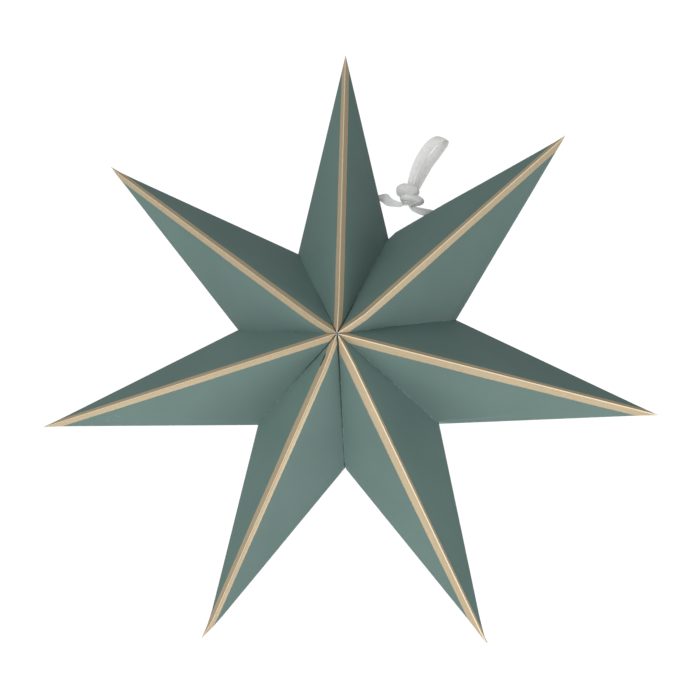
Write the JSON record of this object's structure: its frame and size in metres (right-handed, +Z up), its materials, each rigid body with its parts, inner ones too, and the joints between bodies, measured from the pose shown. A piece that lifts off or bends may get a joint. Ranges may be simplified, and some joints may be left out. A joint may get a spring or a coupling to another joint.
{
  "type": "folded paper star",
  "caption": "Hanging folded card star with hollow pointed arms, gold foil along every ridge, and a white ribbon tied across its open seam as a hanging loop.",
  "frame": {"origin": "inside the top of the ribbon's loop, where a hook or nail carries the star", "axes": "+Z up, out of the loop, as the star hangs; -Y out of the front of the star; +X to the right as seen from the front"},
  "size_m": [0.2977, 0.0874, 0.2949],
  "materials": {
    "green_card": "satin",
    "white_ribbon": "satin"
  },
  "bodies": {
    "root": {"point_top_left": "green_card", "point_left": "green_card", "point_lower_left": "green_card", "point_bottom": "green_card", "point_lower_right": "green_card", "point_right": "green_card", "point_top_right": "green_card", "ribbon_knot": "white_ribbon", "ribbon_loop": "white_ribbon", "ribbon_strand_left": "white_ribbon", "ribbon_strand_right": "white_ribbon", "ribbon_stopper_left": "white_ribbon", "ribbon_stopper_right": "white_ribbon"}
  },
  "joints": []
}
